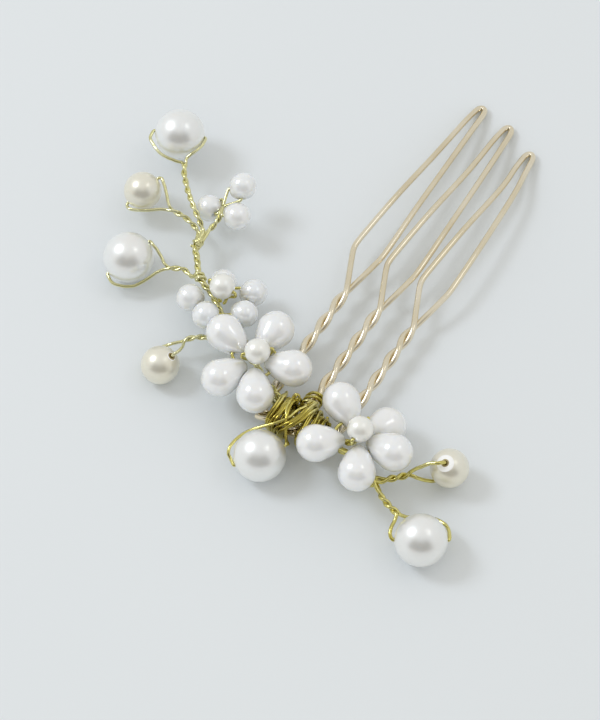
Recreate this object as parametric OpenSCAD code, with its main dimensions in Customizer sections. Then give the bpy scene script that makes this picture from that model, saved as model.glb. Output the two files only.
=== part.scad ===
// Three-tooth wire hair comb that carries a bound spray of pearls and bead
// flowers.  Units are millimetres, +Z is up, X runs along the comb rail,
// Y runs from the rail to the tooth tips.  The comb lies on a table (z = 0).

/* [Comb] */
// Diameter of the comb wire
comb_wire_d = 0.95; // [0.8:0.05:1]
// Distance between the teeth
tooth_pitch = 6.1; // [6:0.05:6.2]
// Length of one full turn where the two legs of a tooth are twisted
tooth_twist = 8.6; // [8:0.1:9.5]
// Length of one full turn of the rail strands
rail_twist = 8; // [6:0.5:10]

/* [Craft wire] */
// Diameter of the craft wire that holds the beads
craft_wire_d = 0.5; // [0.4:0.02:0.5]
// Length of one full turn of a twisted branch
branch_twist = 3.4; // [3:0.1:4]

/* [Pearls] */
// Diameter of the large pearls
pearl_large_d = 8; // [7.8:0.05:8]
// Diameter of the small loose pearls
pearl_small_d = 6; // [5.8:0.05:6.1]
// Diameter of the pearls in the flower centres
pearl_centre_d = 4; // [3.6:0.1:4.1]
// Diameter of the bore through a loose pearl
pearl_bore_d = 0.7; // [0.68:0.01:0.74]

/* [Petal beads] */
// Diameter of the round end of a large drop bead
petal_d = 5.8; // [5.4:0.1:5.8]
// Diameter of the round end of a small drop bead
small_drop_d = 4.3; // [4:0.1:4.4]
// Diameter of the cross hole in the narrow end of a drop bead
drop_hole_d = 0.8; // [0.75:0.05:0.9]

/* [Binding] */
// Number of turns in each coil of the binding wire round the rail
binding_turns = 6; // [4:1:6]
// Number of turns round the shank of the middle tooth
shank_turns = 4; // [3:1:4]

/* [Hidden] */

// The layout below counts X from the left tooth side and Y from the tooth
// bases; this moves the middle of the whole outline to the origin.
shift = [1.95, -16.45, 0];

cw = comb_wire_d / 2;
fw = craft_wire_d / 2;
comb_z = 3;
rail_y = -12.6;
tooth_x = [6.5 - tooth_pitch, 6.5, 6.5 + tooth_pitch];
twist_top = 13;
twist_low = rail_y + 1.25;

// Loose pearls: centre, heading and rise of the bore, diameter
PEARLS = [
    [[-36.6, 22.1, 5.8], 22, 0, pearl_large_d],
    [[-36.1, 10.6, 4.6], 68, 18, pearl_small_d],
    [[-31.3, -0.6, 4], 66, 18, pearl_large_d],
    [[-16.7, -13.7, 3.1], 39, 51, pearl_small_d],
    [[5, -19.2, 4], 51, 10, pearl_large_d],
    [[30.1, -5.6, 3.6], 248, 70, pearl_small_d],
    [[32.8, -18.4, 4], 32, 0, pearl_large_d]];

// Flowers: middle of the threaded ring, and the round end of each bead
TIP_MID = [-23.2, 14.2, 6];
TIP = [[-22.1, 18.2, 7.5], [-20.3, 13.7, 6.2], [-25.4, 13.5, 4.6]];
SMALL_MID = [-14.4, 0.3, 4.8];
SMALL = [[-19.1, -1.7, 4.2], [-14.9, -3.6, 5.3], [-10, -0.2, 5.2],
    [-11.2, 4.3, 4.2], [-16.6, 3.9, 3]];
SMALL_TOP = [-15, 1.3, 6.9];
LEFT_MID = [-3.9, -7, 6.6];
LEFT = [[-10.2, -5.5, 7], [-6.7, -12.2, 6.2], [-0.4, -12.1, 6.9],
    [2.2, -5.3, 7.2], [-4, -0.6, 6.5]];
LEFT_TOP = [-3.4, -6.7, 9.3];
RIGHT_MID = [16.8, -9.8, 6.6];
RIGHT = [[11.3, -6.2, 7.3], [11.9, -14.6, 7.6], [19.6, -15.2, 7],
    [22.6, -9.5, 7.2], [18.6, -4.7, 4.2]];
RIGHT_TOP = [16.8, -9.8, 9.25];

// Headings of the bores of the centre pearls
SMALL_AZ = 0;
LEFT_AZ = 45;
RIGHT_AZ = 90;

// Drop beads: round end radius, narrow end radius, distance between them
BIG_DROP = [petal_d / 2, 1.3, 3.4];
SMALL_DROP = [small_drop_d / 2, 0.9, 1.5];

// Routes of the wires, as points that each wire passes
R1_STEM = [[-33.1, 18.1, 5.5], [-32.2, 16.6, 5.4], [-31.1, 15.3, 5.3],
    [-29.7, 13.9, 5.4], [-28.1, 12.4, 5.8], [-26.5, 11.1, 6.1],
    [-24.9, 10, 5.7], [-23.8, 9.1, 5.1]];
R1_A = [[-40.3, 19.1, 5.8], [-39.3, 18.3, 5.8], [-38.2, 17.7, 5.7],
    [-36.8, 17.4, 5.6], [-35.4, 17.4, 5.6], [-34.1, 17.7, 5.5]];
R1_B = [[-32.4, 22.8, 6.1], [-32.3, 21.8, 6.1], [-32.5, 20.7, 6.2],
    [-32.9, 19.6, 6], [-33.2, 18.9, 5.7]];
R2_STEM = [[-30.8, 10.1, 4.4], [-29.6, 10.2, 4.2], [-28.1, 10.3, 4],
    [-26.7, 10, 3.9], [-25.3, 9.5, 3.9], [-24.3, 8.8, 3.9]];
R2_A = [[-34.2, 13.4, 5.9], [-33.2, 12.6, 5.6], [-32.1, 11.5, 5.1],
    [-31.3, 10.8, 4.7]];
R2_B = [[-36.9, 7.3, 3.6], [-36, 7.1, 3.8], [-34.5, 7.7, 4], [-33.1, 8.5, 4.2],
    [-32, 9.3, 4.3]];
R3_STEM = [[-25.2, 0.9, 4.2], [-24.1, 1.4, 4.2], [-23, 2, 4.2], [-22, 2, 4.1],
    [-21.1, 1.7, 4]];
R3_A = [[-28.8, 2.6, 5.5], [-28.1, 2.5, 5.2], [-27.2, 2.1, 4.8],
    [-26.2, 1.5, 4.4]];
R3_B = [[-32.3, -4.7, 2.7], [-31.5, -5.1, 2.6], [-30.2, -5, 2.6],
    [-28.9, -4.5, 2.7], [-27.8, -3.5, 2.9], [-26.9, -2.1, 3.3],
    [-26.2, -0.6, 3.8]];
R4_STEM = [[-15.7, -8.4, 3.6], [-15.2, -7.8, 3.9], [-14.6, -7.2, 4],
    [-13.6, -6.4, 3.8], [-12.2, -5.8, 3.5], [-11, -5.1, 3.2]];
R4_A = [[-14.8, -11.9, 6], [-14.7, -10.9, 5.6], [-15, -9.9, 4.9]];
R4_B = [[-18.5, -15.2, 0.5], [-19.3, -14.3, 0.6], [-19.6, -12.6, 1.2],
    [-18.8, -11, 2.3], [-17.4, -10, 3.3], [-16.5, -9.1, 3.5]];
R5_A = [[1.5, -21.8, 3.4], [0.8, -21.4, 3.8], [0.5, -20.7, 4.1],
    [0.4, -19.8, 4.3], [0.6, -18.8, 4.4], [1, -17.7, 4.5],
    [1.6, -16.7, 4.7], [2.5, -15.8, 5.1], [3.5, -15.1, 5.6],
    [4.4, -14.3, 6], [5.3, -13.4, 6.3], [5.9, -12.4, 6.4],
    [6.3, -10.9, 6.4], [7, -9.4, 6.2], [7.6, -7.7, 5.6]];
R5_B = [[7.2, -15.3, 4.7], [6.7, -14.5, 5.2], [6.1, -13.8, 5.6]];
R6_STEM = [[25.5, -9.8, 3.8], [24.9, -10.7, 3.9], [24.1, -11.6, 4],
    [23.4, -12.3, 4.1], [22.8, -13, 4.1]];
R6_A = [[29, -7.4, 7], [28, -7.9, 6.6], [27.1, -8.6, 6], [26.3, -9.1, 5.2],
    [25.8, -9.5, 4.5]];
R6_B = [[30.3, -4.7, 0.4], [29.7, -5.3, 0.3], [29, -6.7, 0.6],
    [28.3, -8.1, 1.6], [27.2, -9, 2.6], [26.3, -9.6, 3.4]];
R7_STEM = [[27.7, -16.7, 4.5], [26.4, -16.4, 4.4], [25.3, -16, 4.3],
    [24.1, -15.4, 4.2], [23.1, -14.7, 4.1]];
R7_A = [[28.5, -20.2, 4.3], [28.1, -19.1, 4.4], [27.9, -18, 4.4]];
R7_B = [[36, -15.5, 3.9], [35.4, -14.7, 3.7], [34.3, -13.9, 3.2],
    [32.8, -13.7, 2.8], [31.2, -14.1, 2.4], [29.8, -15, 2.6],
    [28.8, -16, 3.4]];
TIP_STEM = [[-23, 12.9, 6], [-22.7, 12.2, 5.8], [-22.7, 11.5, 5.5],
    [-22.9, 10.4, 5.1], [-23.1, 9.4, 4.9]];
LEFT_STEM = [[-3, -7.6, 5.6], [-1.2, -8.4, 5.4], [1.4, -9.2, 5.1],
    [3.4, -10.2, 4.9], [5, -10.6, 4.8]];
RIGHT_STEM = [[16.5, -10.4, 5.7], [15.4, -10.9, 5.5], [13.6, -11, 5.1],
    [11, -10.9, 4.9]];
LONG_BRANCH = [[9.2, -11.8, 4.5], [7, -11.6, 4.55], [4.2, -11.5, 4.55],
    [1.6, -10.2, 4.3], [-0.8, -8.4, 4.3], [-3.2, -6.8, 4.3], [-6, -5.3, 4.3], [-8.5, -4.4, 4.1],
    [-11, -3.1, 3.9], [-13.2, -1.6, 3.8], [-15.2, -0.2, 3.7],
    [-17, 0.9, 4.1], [-18.5, 1.3, 4.5], [-20, 2.2, 4.6], [-21, 3.4, 4.6],
    [-22.1, 4.8, 4.6], [-23.3, 6.2, 4.6], [-23.4, 7.8, 4.5]];
SHORT_BRANCH = [[12.4, -12, 4.5], [15.1, -12.1, 4.5], [17.8, -12.2, 4.4],
    [20.2, -13.3, 4.1], [22.1, -14.3, 4]];

// ---- vectors and swept wires ----
function unit(v) = v / norm(v);
function across(v, t) = unit(v - (v * t) * t);
function heading(a, e) = [cos(a) * cos(e), sin(a) * cos(e), sin(e)];
function blend(a, b, c, d, t) = 0.5 * (2 * b + (c - a) * t
    + (2 * a - 5 * b + 4 * c - d) * t * t + (3 * b - a - 3 * c + d) * t * t * t);
// Smooth line through the points, about one step long between samples
function smooth_line(p, step) = let (m = len(p) - 1) concat(
    [for (i = [0:m - 1]) let (n = max(1, round(norm(p[i + 1] - p[i]) / step)))
        for (k = [0:n - 1])
            blend(p[max(i - 1, 0)], p[i], p[i + 1], p[min(i + 2, m)], k / n)],
    [p[m]]);
function tangents(p) = let (m = len(p) - 1)
    [for (i = [0:m]) unit(p[min(i + 1, m)] - p[max(i - 1, 0)])];
function normals(t, n0) = [for (i = 0, n = across(n0, t[0]); i < len(t);
    n = across(n, t[min(i + 1, len(t) - 1)]), i = i + 1) n];
function lengths(p) = [for (i = 0, s = 0; i < len(p);
    s = s + (i + 1 < len(p) ? norm(p[i + 1] - p[i]) : 0), i = i + 1) s];
function side_of(t) = abs(t[2]) < 0.8 ? [0, 0, 1] : [1, 0, 0];
function tube_points(p, r, k) = let (t = tangents(p), n = normals(t, side_of(t[0])))
    [for (i = [0:len(p) - 1]) let (b = cross(t[i], n[i]))
        for (j = [0:k - 1]) p[i] + r * (cos(360 * j / k) * n[i] + sin(360 * j / k) * b)];
function tube_faces(m, k, o) = concat(
    [for (i = [0:m - 2]) for (j = [0:k - 1]) let (a = o + i * k + j,
        b = o + i * k + (j + 1) % k) for (f = [[a, a + k, b + k], [a, b + k, b]]) f],
    [for (j = [1:k - 2]) [o, o + j, o + j + 1]],
    [for (j = [1:k - 2]) let (e = o + (m - 1) * k) [e, e + j + 1, e + j]]);
// One closed tube for each line in the list
module wires(lines, r, k) {
    starts = [for (i = 0, s = 0; i < len(lines); s = s + len(lines[i]) * k, i = i + 1) s];
    polyhedron(points = [for (l = lines) for (q = tube_points(l, r, k)) q],
        faces = [for (i = [0:len(lines) - 1])
            for (f = tube_faces(len(lines[i]), k, starts[i])) f], convexity = 10);
}
// Strand j of n laid round a line; off is its distance from the line
function strand(p, n0, off, turn, j, n) = let (t = tangents(p), nn = normals(t, n0), s = lengths(p))
    [for (i = [0:len(p) - 1]) let (a = 360 * j / n - 360 * s[i] / turn)
        p[i] + off * (cos(a) * nn[i] + sin(a) * cross(t[i], nn[i]))];
// The two legs of a pearl wire: down each side of the pearl and into the twist
function leg(far, mid, stem, j) = concat(
    smooth_line(concat(far, mid, [stem[0] + (stem[0] - stem[1]) * 0.2
        + unit(mid[len(mid) - 1] - stem[0]) * fw * 0.6]), 0.8), stem);

module drop(spec, mid, tip) {
    d = unit(tip - mid);
    at = tip - d * spec[2];
    lean = asin((spec[0] - spec[1]) / spec[2]);
    translate(at) rotate([0, acos(d[2]), atan2(d[1], d[0])]) difference() {
        rotate_extrude($fn = 48) polygon(concat(
            [for (i = [0:10]) let (u = 90 - (90 + lean) * i / 10)
                [max(0, spec[0] * cos(u)) * (i == 0 ? 0 : 1), spec[2] + spec[0] * sin(u)]],
            [for (i = [1:6]) let (u = -lean - (90 - lean) * i / 6)
                [i == 6 ? 0 : spec[1] * cos(u), spec[1] * sin(u)]]));
        rotate([90, 0, 0]) cylinder(d = drop_hole_d, h = 8, center = true, $fn = 24);
    }
}
module bored_pearl(c, az, el, d, bore) {
    translate(c) rotate([0, 90 - el, az]) difference() {
        sphere(d = d, $fn = 64);
        cylinder(d = bore, h = d + 2, center = true, $fn = 24);
    }
}

// ---- comb ----
function tooth_axis(x) = [for (i = [0:1:round((twist_top - twist_low) / 0.72)])
    [x, twist_top - i * (twist_top - twist_low) / round((twist_top - twist_low) / 0.72), comb_z]];
// Legs of a tooth: up one side, round the tip, down the other side
function tooth_loop(x, tip) = [
    [x - 1.7, 16.8, 3.5], [x - 2.9, 19.6, 3.6], [x - 3.1, 20.8, 3.65],
    [x - 2.9, 24, 3.8], [x - 2.3, 32, 3.8], [x - 1.5, 42, 3], [x - 0.95 + tip[0] * 0.7, tip[1] - 4.6, 1.7],
    [x - 0.78 + tip[0] * 0.9, tip[1] - 2.2, 1.1], [x - 0.62 + tip[0], tip[1] - 0.7, 0.75],
    [x + tip[0], tip[1], 0.6], [x + 0.62 + tip[0], tip[1] - 0.7, 0.75],
    [x + 0.78 + tip[0] * 0.9, tip[1] - 2.2, 1.1], [x + 0.9 + tip[0] * 0.7, tip[1] - 4.6, 1.7],
    [x + 1.25 + tip[0] * 0.3, 42, 3], [x + 1.5, 32, 3.8], [x + 1.7, 24, 3.8], [x + 1.65, 20.6, 3.6],
    [x + 1.45, 19.4, 3.5], [x + 0.9, 16.6, 3.2]];
module tooth(i, tip) {
    x = tooth_x[i];
    axis = tooth_axis(x);
    a = strand(axis, [0, 0, 1], cw + 0.03, tooth_twist, 0, 2);
    b = strand(axis, [0, 0, 1], cw + 0.03, tooth_twist, 1, 2);
    back = [for (k = [len(a) - 1:-1:1]) a[k]];
    loop = smooth_line(concat([a[0]], tooth_loop(x, tip), [b[0]]), 1.3);
    wires([concat(back, loop, [for (k = [1:len(b) - 1]) b[k]])], cw, 8);
}
module comb_rail() {
    color("#c9a584") translate(shift) {
        line = smooth_line([[0.4, rail_y, comb_z], [6.4, rail_y, comb_z], [13.2, rail_y, comb_z]], 0.8);
        wires([for (j = [0:2]) strand(line, [0, 0, 1], cw * 1.2, rail_twist, j, 3)], cw, 8);
    }
}
module tooth_left() { color("#c9a584") translate(shift) tooth(0, [-0.25, 55.6]); }
module tooth_middle() { color("#c9a584") translate(shift) tooth(1, [-0.75, 54.6]); }
module tooth_right() { color("#c9a584") translate(shift) tooth(2, [-1.35, 52]); }

// ---- loose pearls, each free to turn on its wire ----
module pearl(i) {
    color(PEARLS[i][3] < 7 ? "#f1e9dd" : "#f2f2ef") translate(shift)
        bored_pearl(PEARLS[i][0], PEARLS[i][1], PEARLS[i][2], PEARLS[i][3], pearl_bore_d);
}
module pearl_1() { pearl(0); }
module pearl_2() { pearl(1); }
module pearl_3() { pearl(2); }
module pearl_4() { pearl(3); }
module pearl_5() { pearl(4); }
module pearl_6() { pearl(5); }
module pearl_7() { pearl(6); }

// ---- fixed beads ----
module big_petal(mid, tip) { color("#f4f7fa") translate(shift) drop(BIG_DROP, mid, tip); }
module small_drop(mid, tip) { color("#f4f7fa") translate(shift) drop(SMALL_DROP, mid, tip); }
module centre(c, az) { color("#f3eee4") translate(shift) bored_pearl(c, az, 0, pearl_centre_d, 0.7); }
module tip_drop_1() { small_drop(TIP_MID, TIP[0]); }
module tip_drop_2() { small_drop(TIP_MID, TIP[1]); }
module tip_drop_3() { small_drop(TIP_MID, TIP[2]); }
module small_flower_centre() { centre(SMALL_TOP, SMALL_AZ); }
module small_flower_bead_1() { small_drop(SMALL_MID, SMALL[0]); }
module small_flower_bead_2() { small_drop(SMALL_MID, SMALL[1]); }
module small_flower_bead_3() { small_drop(SMALL_MID, SMALL[2]); }
module small_flower_bead_4() { small_drop(SMALL_MID, SMALL[3]); }
module small_flower_bead_5() { small_drop(SMALL_MID, SMALL[4]); }
module left_flower_centre() { centre(LEFT_TOP, LEFT_AZ); }
module left_flower_petal_1() { big_petal(LEFT_MID, LEFT[0]); }
module left_flower_petal_2() { big_petal(LEFT_MID, LEFT[1]); }
module left_flower_petal_3() { big_petal(LEFT_MID, LEFT[2]); }
module left_flower_petal_4() { big_petal(LEFT_MID, LEFT[3]); }
module left_flower_petal_5() { big_petal(LEFT_MID, LEFT[4]); }
module right_flower_centre() { centre(RIGHT_TOP, RIGHT_AZ); }
module right_flower_petal_1() { big_petal(RIGHT_MID, RIGHT[0]); }
module right_flower_petal_2() { big_petal(RIGHT_MID, RIGHT[1]); }
module right_flower_petal_3() { big_petal(RIGHT_MID, RIGHT[2]); }
module right_flower_petal_4() { big_petal(RIGHT_MID, RIGHT[3]); }
module right_flower_petal_5() { big_petal(RIGHT_MID, RIGHT[4]); }

// ---- craft wire ----
// Wire of a loose pearl: a straight axle through the bore and two legs that
// meet and twist into a stem
module pearl_wire(i, a, b, stem) {
    c = PEARLS[i][0];
    d = heading(PEARLS[i][1], PEARLS[i][2]);
    r = PEARLS[i][3] / 2;
    color("#cdc56c") translate(shift) {
        translate(c) rotate([0, 90 - PEARLS[i][2], PEARLS[i][1]])
            cylinder(r = fw + 0.01, h = 2 * r + 0.4, center = true, $fn = 24);
        line = smooth_line(stem, branch_twist / 6);
        n0 = a[len(a) - 1] - stem[0];
        s = [for (j = [0:1]) len(stem) > 0 ? strand(line, n0, fw + 0.01, branch_twist, j, 2) : []];
        wires([leg([c + d * (r + 0.08), c + d * (r + 0.22)], a, s[0], 0),
            leg([c - d * (r + 0.08), c - d * (r + 0.22)], b, s[1], 1)], fw, 6);
    }
}
module pearl_1_wire() { pearl_wire(0, R1_B, R1_A, R1_STEM); }
module pearl_2_wire() { pearl_wire(1, R2_A, R2_B, R2_STEM); }
module pearl_3_wire() { pearl_wire(2, R3_A, R3_B, R3_STEM); }
module pearl_4_wire() { pearl_wire(3, R4_A, R4_B, R4_STEM); }
module pearl_5_wire() {
    c = PEARLS[4][0];
    d = heading(PEARLS[4][1], PEARLS[4][2]);
    r = PEARLS[4][3] / 2;
    color("#cdc56c") translate(shift) {
        translate(c) rotate([0, 90 - PEARLS[4][2], PEARLS[4][1]])
            cylinder(r = fw + 0.01, h = 2 * r + 0.4, center = true, $fn = 24);
        wires([smooth_line(concat([c - d * (r + 0.08), c - d * (r + 0.22)], R5_A), 0.8),
            smooth_line(concat([c + d * (r + 0.08), c + d * (r + 0.22)], R5_B), 0.8)], fw, 6);
    }
}
module pearl_6_wire() { pearl_wire(5, R6_A, R6_B, R6_STEM); }
module pearl_7_wire() { pearl_wire(6, R7_B, R7_A, R7_STEM); }

// A wire threaded through the cross hole of one drop bead
function drop_hole(spec, mid, tip) = let (d = unit(tip - mid), at = tip - d * spec[2],
    t = unit([-d[1], d[0], 0]), h = spec[1] + 0.3) [at - t * h, at + t * h];
// Straight pieces inside the holes, so the corners fall between the beads
function threaded(spec, mid, tips) = [for (q = tips) for (e = drop_hole(spec, mid, q)) e];
// Wire over the centre pearl: through its bore and down on both sides
function centre_wire(top, foot, az) = let (r = pearl_centre_d / 2, u = [cos(az), sin(az), 0],
    z = [0, 0, 1]) [foot - u * 0.28, foot - u * 0.5 + z * 0.4, top - u * 1 - z * 2.25,
     top - u * 2.3 - z * 1.1, top - u * (r + 0.35) - z * 0.15, top - u * (r + 0.1),
     top + u * (r + 0.1), top + u * (r + 0.35) - z * 0.15, top + u * 2.3 - z * 1.1,
     top + u * 1 - z * 2.25, foot + u * 0.5 + z * 0.4, foot + u * 0.28];
module flower_wire(spec, mid, tips, top, az, stem) {
    color("#cdc56c") translate(shift) {
        ring = threaded(spec, mid, tips);
        wires(concat([ring], [centre_wire(top, mid - [0, 0, 0.7], az)],
            len(stem) < 2 ? [] : let (line = smooth_line(stem, branch_twist / 6))
            [for (j = [0:1]) strand(line, [0, 0, 1], fw + 0.01, branch_twist, j, 2)]), fw, 6);
    }
}
module tip_drops_wire() {
    color("#cdc56c") translate(shift) {
        line = smooth_line(TIP_STEM, branch_twist / 6);
        wires(concat([for (i = [0:2]) let (h = drop_hole(SMALL_DROP, TIP_MID, TIP[i]),
                d = unit(TIP[i] - TIP_MID), t = unit(h[1] - h[0]))
                [TIP_MID + d * 0.08 - t * 0.12, h[0] - t * 0.12 - d * 0.65, h[0], h[1],
                    h[1] + t * 0.12 - d * 0.65, TIP_MID + d * 0.08 + t * 0.12]],
            [for (j = [0:1]) strand(line, [0, 0, 1], fw + 0.01, branch_twist, j, 2)]), fw, 6);
    }
}
module small_flower_wire() { flower_wire(SMALL_DROP, SMALL_MID, SMALL, SMALL_TOP, SMALL_AZ, []); }
module left_flower_wire() { flower_wire(BIG_DROP, LEFT_MID, LEFT, LEFT_TOP, LEFT_AZ, LEFT_STEM); }
module right_flower_wire() { flower_wire(BIG_DROP, RIGHT_MID, RIGHT, RIGHT_TOP, RIGHT_AZ, RIGHT_STEM); }
module branch(route) {
    color("#cdc56c") translate(shift) {
        line = smooth_line(route, 0.65);
        wires([for (j = [0:2]) strand(line, [0, 0, 1], fw * 1.2, 3.9, j, 3)], fw, 6);
    }
}
module long_branch() { branch(LONG_BRANCH); }
module short_branch() { branch(SHORT_BRANCH); }
// Turns round the rail and the branches that lie on it, with square shoulders
function squarish(a, p) = [sign(cos(a)) * pow(abs(cos(a)), p), sign(sin(a)) * pow(abs(sin(a)), p)];
function coil(x0, x1, y, z, wy, wz, turns) = [for (i = [0:turns * 14])
    let (a = 360 * i / 14, s = i / (turns * 14), q = squarish(a, 0.62))
    [x0 + s * (x1 - x0), y + wy * q[0], z + wz * q[1]]];
module binding_wire() {
    color("#cdc56c") translate(shift) wires([
        coil(2.6, 5.2, -11.4, 3.65, 2.7, 2.15, binding_turns - 1),
        coil(7.8, 10.9, -11.4, 3.45, 2.7, 1.9, binding_turns),
        [for (i = [0:shank_turns * 12]) let (a = 30 * i)
            [tooth_x[1] + 1.3 * cos(a), -5.9 - 2.6 * a / (360 * shank_turns), comb_z + 1.3 * sin(a)]]], fw, 6);
}

comb_rail();
tooth_left();
tooth_middle();
tooth_right();
pearl_1();
pearl_2();
pearl_3();
pearl_4();
pearl_5();
pearl_6();
pearl_7();
tip_drop_1();
tip_drop_2();
tip_drop_3();
small_flower_centre();
small_flower_bead_1();
small_flower_bead_2();
small_flower_bead_3();
small_flower_bead_4();
small_flower_bead_5();
left_flower_centre();
left_flower_petal_1();
left_flower_petal_2();
left_flower_petal_3();
left_flower_petal_4();
left_flower_petal_5();
right_flower_centre();
right_flower_petal_1();
right_flower_petal_2();
right_flower_petal_3();
right_flower_petal_4();
right_flower_petal_5();
pearl_1_wire();
pearl_2_wire();
pearl_3_wire();
pearl_4_wire();
pearl_5_wire();
pearl_6_wire();
pearl_7_wire();
tip_drops_wire();
small_flower_wire();
left_flower_wire();
right_flower_wire();
long_branch();
short_branch();
binding_wire();
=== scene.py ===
"""Looks of the wire hair comb: bored pearls, drop beads, twisted wires, floor and studio light.

Lengths below are in millimetres in the comb's own layout (X from the left tooth side, Y from the
tooth bases); put() turns them into the part frame in metres.
"""

import math

import bpy
import numpy as np
from mathutils import Matrix, Vector


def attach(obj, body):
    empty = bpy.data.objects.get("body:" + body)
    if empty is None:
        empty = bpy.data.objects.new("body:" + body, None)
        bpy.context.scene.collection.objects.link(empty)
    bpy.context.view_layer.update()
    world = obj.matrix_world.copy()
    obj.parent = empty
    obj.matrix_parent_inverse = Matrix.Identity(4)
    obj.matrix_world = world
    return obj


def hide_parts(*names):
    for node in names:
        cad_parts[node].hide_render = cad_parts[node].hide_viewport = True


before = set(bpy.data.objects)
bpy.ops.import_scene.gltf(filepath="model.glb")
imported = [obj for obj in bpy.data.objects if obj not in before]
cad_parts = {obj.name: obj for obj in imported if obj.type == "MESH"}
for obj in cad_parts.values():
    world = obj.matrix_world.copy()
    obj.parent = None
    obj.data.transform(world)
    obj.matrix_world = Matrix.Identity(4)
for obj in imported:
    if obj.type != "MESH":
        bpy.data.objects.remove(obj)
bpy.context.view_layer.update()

# ------------------------------------------------------------------ layout
SHIFT = np.array([1.95, -16.45, 0.0])
CW, FW = 0.475, 0.25
COMB_Z, RAIL_Y = 3.0, -12.6
TOOTH_X = [0.4, 6.5, 12.6]
TWIST_TOP, TWIST_LOW = 13.0, RAIL_Y + 1.25
TOOTH_TWIST, RAIL_TWIST, BRANCH_TWIST = 8.6, 8.0, 3.4

PEARLS = [
    ((-36.6, 22.1, 5.8), 22, 0, 8.0),
    ((-36.1, 10.6, 4.6), 68, 18, 6.0),
    ((-31.3, -0.6, 4), 66, 18, 8.0),
    ((-16.7, -13.7, 3.1), 39, 51, 6.0),
    ((5, -19.2, 4), 51, 10, 8.0),
    ((30.1, -5.6, 3.6), 248, 70, 6.0),
    ((32.8, -18.4, 4), 32, 0, 8.0),
]
BORE_R, CENTRE_BORE_R = 0.35, 0.35

TIP_MID = (-23.2, 14.2, 6)
TIP = [(-22.1, 18.2, 7.5), (-20.3, 13.7, 6.2), (-25.4, 13.5, 4.6)]
SMALL_MID = (-14.4, 0.3, 4.8)
SMALL = [(-19.1, -1.7, 4.2), (-14.9, -3.6, 5.3), (-10, -0.2, 5.2), (-11.2, 4.3, 4.2), (-16.6, 3.9, 3)]
SMALL_TOP = (-15, 1.3, 6.9)
LEFT_MID = (-3.9, -7, 6.6)
LEFT = [(-10.2, -5.5, 7), (-6.7, -12.2, 6.2), (-0.4, -12.1, 6.9), (2.2, -5.3, 7.2), (-4, -0.6, 6.5)]
LEFT_TOP = (-3.4, -6.7, 9.3)
RIGHT_MID = (16.8, -9.8, 6.6)
RIGHT = [(11.3, -6.2, 7.3), (11.9, -14.6, 7.6), (19.6, -15.2, 7), (22.6, -9.5, 7.2), (18.6, -4.7, 4.2)]
RIGHT_TOP = (16.8, -9.8, 9.25)
SMALL_AZ, LEFT_AZ, RIGHT_AZ = 0, 45, 90
BIG_DROP = (2.9, 1.3, 3.4)
SMALL_DROP = (2.15, 0.9, 1.5)

R1_STEM = [(-33.1, 18.1, 5.5), (-32.2, 16.6, 5.4), (-31.1, 15.3, 5.3), (-29.7, 13.9, 5.4), (-28.1, 12.4, 5.8),
        (-26.5, 11.1, 6.1), (-24.9, 10, 5.7), (-23.8, 9.1, 5.1)]
R1_A = [(-40.3, 19.1, 5.8), (-39.3, 18.3, 5.8), (-38.2, 17.7, 5.7), (-36.8, 17.4, 5.6), (-35.4, 17.4, 5.6),
        (-34.1, 17.7, 5.5)]
R1_B = [(-32.4, 22.8, 6.1), (-32.3, 21.8, 6.1), (-32.5, 20.7, 6.2), (-32.9, 19.6, 6), (-33.2, 18.9, 5.7)]
R2_STEM = [(-30.8, 10.1, 4.4), (-29.6, 10.2, 4.2), (-28.1, 10.3, 4), (-26.7, 10, 3.9), (-25.3, 9.5, 3.9),
        (-24.3, 8.8, 3.9)]
R2_A = [(-34.2, 13.4, 5.9), (-33.2, 12.6, 5.6), (-32.1, 11.5, 5.1), (-31.3, 10.8, 4.7)]
R2_B = [(-36.9, 7.3, 3.6), (-36, 7.1, 3.8), (-34.5, 7.7, 4), (-33.1, 8.5, 4.2), (-32, 9.3, 4.3)]
R3_STEM = [(-25.2, 0.9, 4.2), (-24.1, 1.4, 4.2), (-23, 2, 4.2), (-22, 2, 4.1), (-21.1, 1.7, 4)]
R3_A = [(-28.8, 2.6, 5.5), (-28.1, 2.5, 5.2), (-27.2, 2.1, 4.8), (-26.2, 1.5, 4.4)]
R3_B = [(-32.3, -4.7, 2.7), (-31.5, -5.1, 2.6), (-30.2, -5, 2.6), (-28.9, -4.5, 2.7), (-27.8, -3.5, 2.9),
        (-26.9, -2.1, 3.3), (-26.2, -0.6, 3.8)]
R4_STEM = [(-15.7, -8.4, 3.6), (-15.2, -7.8, 3.9), (-14.6, -7.2, 4), (-13.6, -6.4, 3.8), (-12.2, -5.8, 3.5),
        (-11, -5.1, 3.2)]
R4_A = [(-14.8, -11.9, 6), (-14.7, -10.9, 5.6), (-15, -9.9, 4.9)]
R4_B = [(-18.5, -15.2, 0.5), (-19.3, -14.3, 0.6), (-19.6, -12.6, 1.2), (-18.8, -11, 2.3), (-17.4, -10, 3.3),
        (-16.5, -9.1, 3.5)]
R5_A = [(1.5, -21.8, 3.4), (0.8, -21.4, 3.8), (0.5, -20.7, 4.1), (0.4, -19.8, 4.3), (0.6, -18.8, 4.4),
        (1, -17.7, 4.5), (1.6, -16.7, 4.7), (2.5, -15.8, 5.1), (3.5, -15.1, 5.6), (4.4, -14.3, 6),
        (5.3, -13.4, 6.3), (5.9, -12.4, 6.4), (6.3, -10.9, 6.4), (7, -9.4, 6.2), (7.6, -7.7, 5.6)]
R5_B = [(7.2, -15.3, 4.7), (6.7, -14.5, 5.2), (6.1, -13.8, 5.6)]
R6_STEM = [(25.5, -9.8, 3.8), (24.9, -10.7, 3.9), (24.1, -11.6, 4), (23.4, -12.3, 4.1), (22.8, -13, 4.1)]
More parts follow.
